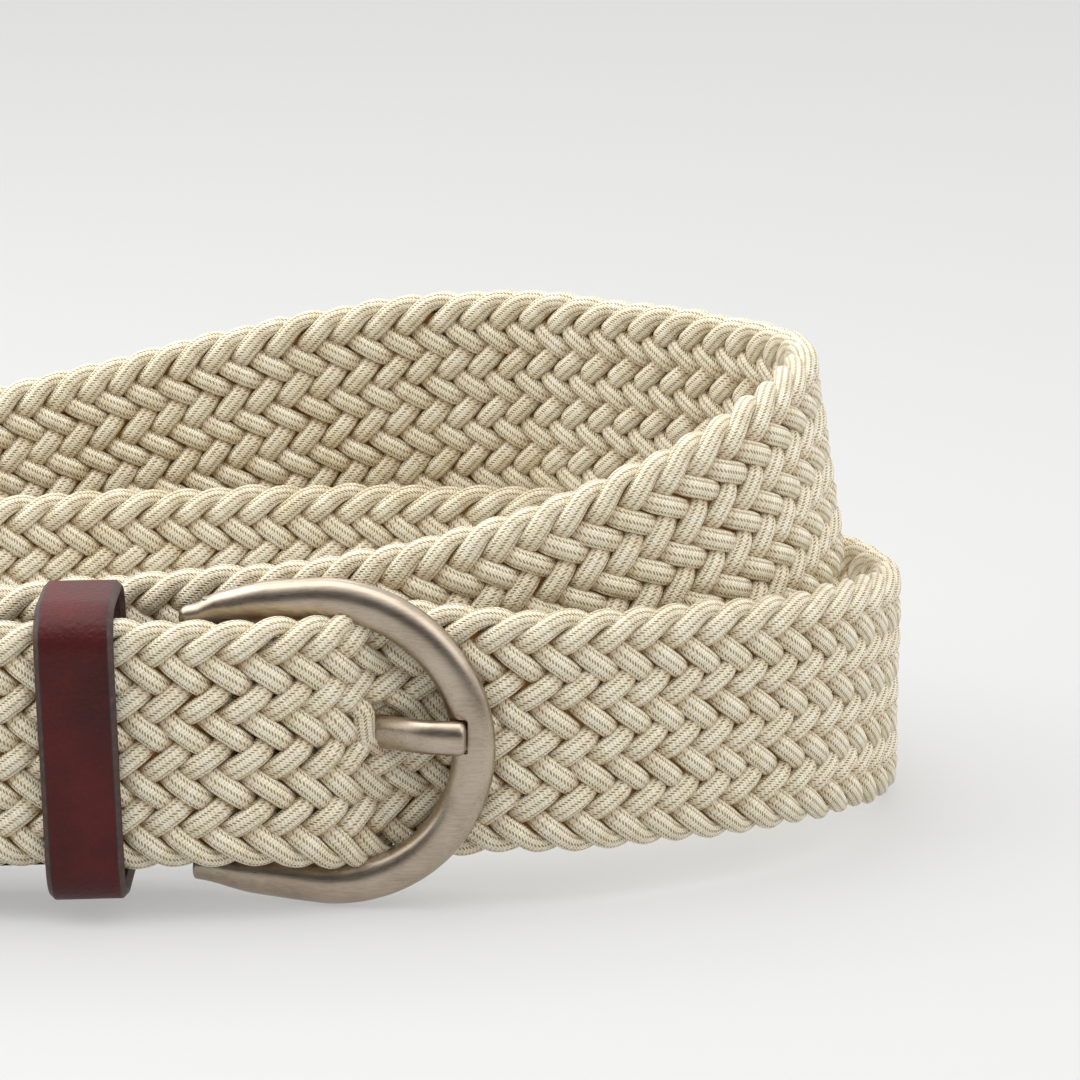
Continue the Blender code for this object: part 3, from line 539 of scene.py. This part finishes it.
bow = {"place": (4.0 * mm, -49.2 * mm, 24.6 * mm), "tilt": 7.01, "arm": 16.6 * mm, "radius": 21.3 * mm,
       "band": 6.2 * mm, "thick": 4.6 * mm, "taper": 0.60, "overhang": 2.6 * mm, "armInner": 18.8 * mm,
       "curl": {1: 1.6 * mm, -1: 1.0 * mm}, "curlShare": {1: 0.6, -1: 0.45},  # 1 is the upper arm
       "hornDrop": {1: 1.2 * mm, -1: 0.0}, "hornShare": 0.18, "fullness": 0.17, "sides": 40, "turns": 72,
       "armSteps": 16, "notchDeep": 1.2 * mm, "notchHigh": 5.14 * mm, "notchRound": 0.35 * mm, "seat": 2.2 * mm,
       "reach": 37.9 * mm, "prongEnd": 37.2 * mm, "play": 0.15 * mm,
       "ends": {1: ((0.5, 0.95), (0.5, 0.84), (0.4, 0.66), (0.25, 0.4)),  # horn: step in mm, scale
                -1: ((0.2, 0.95), (0.14, 0.82))}}  # blunt cut


def ease(t):
    t = min(max(t, 0.0), 1.0)
    return t * t * (3 - 2 * t)


def armAt(share, side):  # middle and scale of an arm's section, 1 at the bow and 0 at the end
    x = -bow["overhang"] + (bow["arm"] + bow["overhang"]) * share
    scale = bow["taper"] + (1 - bow["taper"]) * (share + ease(share)) / 2
    inner = bow["armInner"] + (bow["radius"] - bow["band"] / 2 - bow["armInner"]) * ease(share)
    inner -= bow["curl"][side] * (1 - ease(share / bow["curlShare"][side]))
    inner -= bow["hornDrop"][side] * (1 - ease(share / bow["hornShare"]))
    outer = inner + bow["band"] * scale
    full = scale + bow["fullness"] * (math.sin(math.pi * min(share / 0.9, 1.0)) if share > 0 else 0)
    return x, outer - bow["band"] / 2 * full, full


def makeFrame():
    letGo()
    bpy.ops.mesh.primitive_circle_add(vertices=bow["sides"], radius=1, rotation=(0, math.pi / 2, 0),
                                      location=(bow["arm"], bow["radius"], 0))
    piece = bpy.context.object
    piece.scale = (bow["thick"] / 2, bow["band"] / 2, 1)
    bpy.ops.object.transform_apply(location=True, rotation=True, scale=True)
    openMesh(piece)
    bpy.ops.mesh.select_all(action="SELECT")
    bpy.ops.mesh.spin(steps=bow["turns"], angle=math.pi, center=(bow["arm"], 0, 0), axis=(0, 0, 1))
    for side in (1, -1):
        pick(piece, "VERT", lambda v: abs(v.co.x - bow["arm"]) < 1e-5 and v.co.y * side > 0)
        spot, scale = (bow["arm"], bow["radius"] * side, 0), 1.0
        for i in range(bow["armSteps"]):
            x, y, nextScale = armAt(1 - (i + 1) / bow["armSteps"], side)
            spot = nextRing(spot, (x, y * side, 0), nextScale / scale)
            scale = nextScale
        whole = 1.0
        for back, shrink in bow["ends"][side]:
            spot = nextRing(spot, (spot[0] - back * mm, spot[1], 0), shrink / whole)
            whole = shrink
        bpy.ops.mesh.edge_face_add()
    bpy.ops.mesh.select_all(action="SELECT")
    bpy.ops.mesh.remove_doubles(threshold=1e-6)
    bpy.ops.mesh.normals_make_consistent(inside=False)
    closeMesh(piece, "buckle_bow")
    low = (bow["reach"] - bow["band"], bow["seat"] - bow["notchHigh"] / 2, bow["thick"] / 2 - bow["notchDeep"])
    high = (bow["prongEnd"] + bow["play"], bow["seat"] + bow["notchHigh"] / 2, bow["thick"])
    cutter = boxBetween(low, high)
    openMesh(cutter)
    bpy.ops.mesh.select_all(action="SELECT")
    bpy.ops.mesh.bevel(offset=bow["notchRound"], segments=3, affect="EDGES")
    closeMesh(cutter, "notch")
    finishWith(piece, ("BOOLEAN", {"object": cutter, "operation": "DIFFERENCE", "solver": "EXACT"}))
    bpy.data.objects.remove(cutter, do_unlink=True)
    piece.data.materials.append(nickel)
    piece.rotation_euler = (math.pi / 2, 0, -math.radians(bow["tilt"]))
    piece.location = bow["place"]
    settle(piece, "frame", "satin_nickel", "buckle_frame", smooth=35)


makeFrame()
print("buckle frame spun")


tongue = {"place": (4.0 * mm, -49.2 * mm, 25.2 * mm), "wide": 5.0 * mm, "thick": 3.2 * mm, "wrap": 0.55,
          "wrapRadius": 2.08 * mm, "bendStart": 19 * mm, "bendEnd": 33.8 * mm, "seat": 3.0 * mm,
          "length": 37.2 * mm, "swell": 7 * mm, "rise": 1.6 * mm, "sides": 36, "steps": 44, "hookTurn": 200,
          "hookSteps": 20, "end": ((0.25, 0.985), (0.3, 0.94), (0.25, 0.86), (0.15, 0.74), (0.1, 0.55))}


def makeProng():
    letGo()
    bpy.ops.mesh.primitive_circle_add(vertices=tongue["sides"], radius=1, rotation=(0, math.pi / 2, 0),
                                      location=(0, tongue["wrapRadius"], 0))
    piece = bpy.context.object
    piece.scale = (tongue["wide"] / 2 * tongue["wrap"], tongue["thick"] / 2 * tongue["wrap"], 1)
    bpy.ops.object.transform_apply(location=True, rotation=True, scale=True)
    openMesh(piece)
    bpy.ops.mesh.select_all(action="SELECT")
    bpy.ops.mesh.spin(steps=tongue["hookSteps"], angle=-math.radians(tongue["hookTurn"]), center=(0, 0, 0),
                      axis=(0, 0, 1))  # round the bar
    bpy.ops.mesh.edge_face_add()
    pick(piece, "VERT", lambda v: abs(v.co.x) < 1e-5 and v.co.y > 0)
    spot, scale = (0.0, tongue["wrapRadius"], 0.0), tongue["wrap"]
    body = tongue["length"] - sum(step for step, shrink in tongue["end"]) * mm
    for i in range(tongue["steps"]):
        x = body * (i + 1) / tongue["steps"]
        share = ease((x - tongue["bendStart"]) / (tongue["bendEnd"] - tongue["bendStart"]))
        y = tongue["wrapRadius"] - (tongue["seat"] + tongue["wrapRadius"]) * share
        z = tongue["rise"] * ease((x - tongue["swell"]) / (tongue["bendEnd"] - tongue["swell"]))
        grown = ease((x - tongue["wrapRadius"]) / tongue["swell"])
        nextScale = tongue["wrap"] + (1 - tongue["wrap"]) * grown
        spot = nextRing(spot, (x, y, z), nextScale / scale)
        scale = nextScale
    whole = 1.0
    for step, shrink in tongue["end"]:  # rounded blunt end
        spot = nextRing(spot, (spot[0] + step * mm, spot[1], spot[2]), shrink / whole)
        whole = shrink
    bpy.ops.mesh.edge_face_add()
    bpy.ops.mesh.select_all(action="SELECT")
    bpy.ops.mesh.remove_doubles(threshold=1e-6)
    bpy.ops.mesh.normals_make_consistent(inside=False)
    closeMesh(piece, "buckle_prong")
    piece.data.materials.append(nickel)
    piece.rotation_euler = (0, 0, -math.radians(bow["tilt"]))
    piece.location = tongue["place"]
    settle(piece, "prong", "satin_nickel", "prong", smooth=35)


makeProng()
print("prong drawn")


loop = {"x": -13.7 * mm, "innerY": (-59.8 * mm, -43.2 * mm), "innerZ": (4.43 * mm, 45.1 * mm),
        "wide": 11.2 * mm, "leather": 1.8 * mm, "round": 4.5 * mm, "bend": 6.5 * mm, "lean": 1.3,
        "slit": 0.4 * mm, "crease": 14 * mm, "creaseDeep": 0.35 * mm, "rub": 0.8 * mm, "soften": 0.26 * mm}


def makeKeeper():
    y0, y1 = loop["innerY"][0] - loop["leather"], loop["innerY"][1] + loop["leather"]
    z0, z1 = loop["innerZ"][0] - loop["leather"], loop["innerZ"][1] + loop["leather"]
    half = (loop["wide"] / 2, (y1 - y0) / 2, (z1 - z0) / 2)
    piece = boxBetween([-size for size in half], half)
    openMesh(piece)
    pick(piece, "FACE", lambda f: abs(f.normal.x) > 0.9)
    bpy.ops.mesh.delete(type="FACE")
    for sign, offset in ((1, loop["round"]), (-1, loop["bend"])):  # back corners tight, front corners soft
        pick(piece, "EDGE", lambda e: abs(e.verts[0].co.x - e.verts[1].co.x) > loop["wide"] * 0.9
             and all(v.co.y * sign > (y1 - y0) * 0.49 for v in e.verts))
        bpy.ops.mesh.bevel(offset=offset, segments=10, affect="EDGES")
    for sign in (1, -1):  # slit between the two ends, at the back
        bpy.ops.mesh.select_all(action="SELECT")
        bpy.ops.mesh.bisect(plane_co=(0, 0, sign * loop["slit"] / 2), plane_no=(0, 0, 1))
    pick(piece, "FACE", lambda f: abs(middleOf(f).z) < loop["slit"] / 2 and middleOf(f).y > 0)
    bpy.ops.mesh.delete(type="FACE")
    pick(piece, "EDGE", lambda e: abs(e.verts[0].co.z - e.verts[1].co.z) > 10 * mm)
    bpy.ops.mesh.subdivide(number_cuts=11)
    pick(piece, "EDGE", lambda e: abs(e.verts[0].co.x - e.verts[1].co.x) > loop["wide"] * 0.9)
    bpy.ops.mesh.subdivide(number_cuts=5)
    bpy.ops.mesh.select_all(action="SELECT")
    bpy.ops.mesh.normals_make_consistent(inside=False)
    closeMesh(piece, "keeper_band")
    for material in (leather, edgePaint, flesh, edgeRub):
        piece.data.materials.append(material)
    crease = bpy.data.textures.new("keeper creases", "CLOUDS")
    crease.noise_scale = loop["crease"]
    finishWith(piece,
               ("DISPLACE", {"texture": crease, "strength": loop["creaseDeep"], "mid_level": 0.5,
                             "texture_coords": "LOCAL"}),
               ("SOLIDIFY", {"thickness": loop["leather"], "offset": -1, "material_offset_rim": 1,
                             "material_offset": 2, "use_even_offset": True}),
               ("BEVEL", {"width": loop["rub"], "segments": 1, "limit_method": "ANGLE",
                          "angle_limit": math.radians(60), "material": 3}),
               ("BEVEL", {"width": loop["soften"], "segments": 2, "limit_method": "ANGLE",
                          "angle_limit": math.radians(30), "material": 1}))
    piece.rotation_euler = (0, -math.radians(loop["lean"]), 0)
    piece.location = (loop["x"], (y0 + y1) / 2, (z0 + z1) / 2)
    settle(piece, "keeper", "burgundy_leather", "keeper_loop", smooth=50)


makeKeeper()
print("keeper folded")


seam = {"long": 2.6 * mm, "gap": 0.7 * mm, "thick": 0.62 * mm, "sink": 0.10 * mm}


def oneStitch():
    letGo()
    bpy.ops.mesh.primitive_uv_sphere_add(segments=8, ring_count=6, radius=0.5, rotation=(0, math.pi / 2, 0))
    piece = bpy.context.object
    bpy.ops.object.transform_apply(rotation=True)
    piece.scale = (seam["long"], seam["thick"], seam["thick"])
    bpy.ops.object.transform_apply(scale=True)
    openMesh(piece)
    pick(piece, "VERT", lambda v: abs(v.co.x) < seam["long"] * 0.3)  # fuller in the middle
    bpy.ops.transform.resize(value=(1.25, 1.08, 1.08))
    pick(piece, "VERT", lambda v: abs(v.co.x) > seam["long"] * 0.45)  # ends go down into their holes
    bpy.ops.transform.translate(value=(0, 0, -0.25 * mm))
    closeMesh(piece, "stitch")
    return piece


def sewAlong(name, route, out, replaced):  # route in world metres, out is the face's normal
    pattern = oneStitch()
    pitch = seam["long"] + seam["gap"]
    copies = []
    for start, end in zip(route, route[1:]):
        start, end = Vector(start), Vector(end)
        ahead = (end - start).normalized()
        count = max(1, round((end - start).length / pitch))
        side = Vector(out).cross(ahead)
        turn = Matrix((ahead, side, Vector(out))).transposed().to_4x4()
        for i in range(count):
            spot = start.lerp(end, (i + 0.5) / count) - Vector(out) * seam["sink"]
            copy = pattern.copy()
            copy.data = pattern.data.copy()
            bpy.context.scene.collection.objects.link(copy)
            fit = (end - start).length / count / pitch
            copy.data.transform(Matrix.Translation(spot) @ turn @ Matrix.Diagonal((fit, 1, 1, 1)))
            copies.append(copy)
    bpy.data.objects.remove(pattern, do_unlink=True)
    letGo()
    for copy in copies:
        copy.select_set(True)
    bpy.context.view_layer.objects.active = copies[0]
    bpy.ops.object.join()
    row = bpy.context.object
    row.name = row.data.name = name
    row.data.materials.append(thread)
    settle(row, "belt", "brown_thread", replaced, smooth=60)


tab = {"foldX": 2.4 * mm, "y": -49.2 * mm, "z": 23.1 * mm, "long": 50 * mm, "wide": 31 * mm, "outer": 4.4 * mm,
       "leather": 1.6 * mm, "droop": 0.03, "slotHigh": 6.0 * mm, "slotZ": 25.2 * mm, "slotBack": -4.66 * mm,
       "slotRound": 2.0 * mm, "edge": 0.4 * mm, "margin": 3 * mm}


def makeTab():
    half = tab["wide"] / 2
    piece = boxBetween((-tab["long"], -tab["outer"], -half), (tab["outer"], tab["outer"], half))
    openMesh(piece)
    pick(piece, "FACE", lambda f: f.normal.x < -0.9 or abs(f.normal.z) > 0.9)
    bpy.ops.mesh.delete(type="FACE")
    pick(piece, "EDGE", lambda e: all(v.co.x > 0 for v in e.verts)
         and abs(e.verts[0].co.z - e.verts[1].co.z) > 20 * mm)
    bpy.ops.mesh.bevel(offset=tab["outer"] * 0.9999, segments=12, affect="EDGES")
    bpy.ops.mesh.select_all(action="SELECT")
    bpy.ops.mesh.remove_doubles(threshold=1e-5)
    pick(piece, "EDGE", lambda e: abs(e.verts[0].co.x - e.verts[1].co.x) > 20 * mm)
    bpy.ops.mesh.subdivide(number_cuts=15)
    pick(piece, "EDGE", lambda e: abs(e.verts[0].co.z - e.verts[1].co.z) > 20 * mm)
    bpy.ops.mesh.subdivide(number_cuts=11)
    bpy.ops.mesh.select_all(action="SELECT")
    bpy.ops.mesh.normals_make_consistent(inside=False)
    if sum(f.normal.y * middleOf(f).y for f in bmesh.from_edit_mesh(piece.data).faces) < 0:
        bpy.ops.mesh.flip_normals()
    closeMesh(piece, "tab_fold")
    for material in (leather, edgePaint, flesh):
        piece.data.materials.append(material)
    finishWith(piece,
               ("SOLIDIFY", {"thickness": tab["leather"], "offset": -1, "material_offset_rim": 1,
                             "material_offset": 2, "use_even_offset": True}))
    back, clear = strap["barX"] + tab["slotBack"] - tab["foldX"], tab["outer"] * 2
    slotMid, slotHalf = tab["slotZ"] - tab["z"], tab["slotHigh"] / 2
    cutter = boxBetween((back, -clear, slotMid - slotHalf), (clear, clear, slotMid + slotHalf))
    cutter.data.materials.append(edgePaint)
    openMesh(cutter)
    pick(cutter, "EDGE", lambda e: all(v.co.x < clear * 0.5 for v in e.verts)
         and abs(e.verts[0].co.y - e.verts[1].co.y) > mm)
    bpy.ops.mesh.bevel(offset=tab["slotRound"], segments=6, affect="EDGES")
    closeMesh(cutter, "slot")
    finishWith(piece, ("BOOLEAN", {"object": cutter, "operation": "DIFFERENCE", "solver": "EXACT"}),
               ("BEVEL", {"width": tab["edge"], "segments": 3, "limit_method": "ANGLE",
                          "angle_limit": math.radians(50)}))
    bpy.data.objects.remove(cutter, do_unlink=True)
    droop = Matrix.Identity(4)
    droop[2][0] = tab["droop"]
    piece.data.transform(droop)
    piece.location = (tab["foldX"], tab["y"], tab["z"] - tab["droop"] * (strap["barX"] - tab["foldX"]))
    place = Matrix.Translation(piece.location) @ droop
    settle(piece, "belt", "burgundy_leather", "buckle_tab", smooth=50)
    top, near, far = half - tab["margin"], -3 * tab["margin"], tab["margin"] - tab["long"]
    for name, sign in (("front", -1), ("back", 1)):
        y = sign * tab["outer"]
        corners = ((near, y, top), (far, y, top), (far, y, -top), (near, y, -top))
        route = [place @ Vector(corner) for corner in corners]
        sewAlong("tab_stitches_" + name, route, (0, sign, 0), "tab_thread_" + name)


makeTab()
print("tab sewn")


tip = {"endX": -86.5 * mm, "long": 38 * mm, "round": 12 * mm, "wide": 35 * mm, "y": -56.7 * mm, "z": 25.2 * mm,
       "leather": 1.6 * mm, "middle": 3.6 * mm, "edge": 0.4 * mm, "margin": 3 * mm, "turnSteps": 14}


def makeTipLeaf(name, sign):
    letGo()
    bpy.ops.mesh.primitive_circle_add(vertices=64, radius=1, fill_type="NGON", rotation=(math.pi / 2, 0, 0))
    piece = bpy.context.object
    piece.scale = (tip["round"], tip["wide"] / 2, 1)
    bpy.ops.object.transform_apply(rotation=True, scale=True)
    openMesh(piece)
    bpy.ops.mesh.select_all(action="SELECT")
    bpy.ops.mesh.bisect(plane_co=(0, 0, 0), plane_no=(1, 0, 0), clear_outer=True)
    pick(piece, "EDGE", lambda e: all(abs(v.co.x) < 1e-6 for v in e.verts))
    bpy.ops.mesh.extrude_region_move(TRANSFORM_OT_translate={"value": (tip["long"] - tip["round"], 0, 0)})
    bpy.ops.mesh.select_all(action="SELECT")
    bpy.ops.mesh.dissolve_limited(angle_limit=math.radians(0.5))
    bpy.ops.mesh.normals_make_consistent(inside=False)
    if list(bmesh.from_edit_mesh(piece.data).faces)[0].normal.y * sign < 0:
        bpy.ops.mesh.flip_normals()
    closeMesh(piece, "tip_leaf_" + name)
    for material in (leather, edgePaint, flesh):
        piece.data.materials.append(material)
    finishWith(piece,
               ("SOLIDIFY", {"thickness": tip["leather"], "offset": 0, "material_offset_rim": 1,
                             "material_offset": 2, "use_even_offset": True}),
               ("BEVEL", {"width": tip["edge"], "segments": 3, "limit_method": "ANGLE",
                          "angle_limit": math.radians(50)}))
    piece.location = (tip["endX"] + tip["round"], tip["y"] + sign * tip["middle"], tip["z"])
    settle(piece, "belt", "burgundy_leather", "tip_%s_leaf" % name, smooth=50)
    half = tip["wide"] / 2 - tip["margin"]
    straight, nose = tip["long"] - tip["round"] - tip["margin"], tip["round"] - tip["margin"]
    turns = [math.pi / 2 + math.pi * i / tip["turnSteps"] for i in range(tip["turnSteps"] + 1)]
    route = [(straight, half)] + [(nose * math.cos(a), half * math.sin(a)) for a in turns] + [(straight, -half)]
    y = tip["y"] + sign * (tip["middle"] + tip["leather"] / 2)
    route = [(tip["endX"] + tip["round"] + x, y, tip["z"] + z) for x, z in route]
    sewAlong("tip_stitches_" + name, route, (0, sign, 0), "tip_thread_" + name)


makeTipLeaf("front", -1)
makeTipLeaf("back", 1)
print("tip sewn")

for name in ("buckle_bar", "keeper_staple"):  # these solids are right as they are
    nodes[name].data.materials.clear()
    nodes[name].data.materials.append(steel)


studio = {"floor": "#c8c8c7", "paper": "#f0f0ef", "pale": 0.45, "sky": 1.09, "bright": (0.25, 0.40, 0.88),
          "dim": 0.08, "dimFrom": 0.05, "brightFrom": 0.45}


def makeFloor():
    letGo()
    bpy.ops.mesh.primitive_plane_add(size=8, location=(0, 0, 0))
    floor = bpy.context.object
    floor.name = "studio_floor"
    material, tree, shader = newMaterial("matt white paper")
    plug(tree, shader, {"Base Color": hexColour(studio["floor"]), "Roughness": 0.9,
                        "Specular IOR Level": 0.1})
    path = addNode(tree, "ShaderNodeLightPath")  # the white table stays pale under the strap
    straight = addNode(tree, "ShaderNodeMath",
                       {0: path.outputs["Is Camera Ray"], 1: path.outputs["Is Glossy Ray"]},
                       operation="MAXIMUM")
    seen = addNode(tree, "ShaderNodeMath", {0: straight.outputs[0], 1: path.outputs["Is Transmission Ray"]},
                   operation="MAXIMUM")
    share = addNode(tree, "ShaderNodeMath", {0: seen.outputs[0], 1: studio["pale"]}, operation="MULTIPLY")
    glow = addNode(tree, "ShaderNodeEmission", {0: hexColour(studio["paper"])})
    mixed = addNode(tree, "ShaderNodeMixShader",
                    {0: share.outputs[0], 1: shader.outputs[0], 2: glow.outputs[0]})
    tree.links.new(mixed.outputs[0], tree.nodes["Material Output"].inputs[0])
    floor.data.materials.append(material)


def addSoftbox(name, place, aim, size, power):
    letGo()
    bpy.ops.object.light_add(type="AREA", location=place)
    lamp = bpy.context.object
    lamp.name = name
    lamp.data.shape = "RECTANGLE"
    lamp.data.size, lamp.data.size_y = size
    lamp.data.energy = power
    lamp.rotation_euler = (Vector(aim) - Vector(place)).to_track_quat("-Z", "Y").to_euler()


makeFloor()
# metres and watts: place, aim, size, power
addSoftbox("top softbox", (-0.02, -0.09, 0.52), (0.02, 0.04, 0), (0.6, 0.35), 1.15)
addSoftbox("back softbox", (-0.15, 0.5, 0.75), (0, 0, 0.03), (0.7, 0.2), 1.0)
addSoftbox("side softbox", (0.9, -0.6, 0.8), (0, 0, 0.02), (0.8, 0.8), 2.35)
addSoftbox("left softbox", (-0.45, -0.02, 0.38), (0.03, 0.03, 0.02), (0.6, 0.6), 2.3)  # into the roll


def makeWalls():  # soft tent: bright above and behind, dark on the camera's side
    world = bpy.data.worlds.new("studio tent")
    bpy.context.scene.world = world
    world.use_nodes = True
    tree = world.node_tree
    way = addNode(tree, "ShaderNodeTexCoord").outputs["Generated"]
    side = addNode(tree, "ShaderNodeVectorMath", {0: way, 1: studio["bright"]}, operation="DOT_PRODUCT")
    level = addNode(tree, "ShaderNodeMapRange",
                    {0: side.outputs["Value"], 1: studio["dimFrom"], 2: studio["brightFrom"], 3: studio["dim"],
                     4: 1.0}, interpolation_type="SMOOTHSTEP")
    power = addNode(tree, "ShaderNodeMath", {0: level.outputs[0], 1: studio["sky"]}, operation="MULTIPLY")
    paint = tree.nodes["Background"]
    paint.inputs[0].default_value = (1, 1, 1, 1)
    tree.links.new(power.outputs[0], paint.inputs[1])


makeWalls()

shot = {"place": (51.0 * mm, -624.7 * mm, 213.5 * mm), "tip": 74.5, "focal": 36 * 4229 / 1080}
letGo()
bpy.ops.object.camera_add(location=shot["place"], rotation=(math.radians(shot["tip"]), 0, 0))
camera = bpy.context.object
camera.data.lens = shot["focal"]
camera.data.sensor_width = 36
camera.data.clip_start = 0.01
bpy.context.scene.camera = camera
bpy.context.scene.view_settings.view_transform = "Standard"
print("studio set")
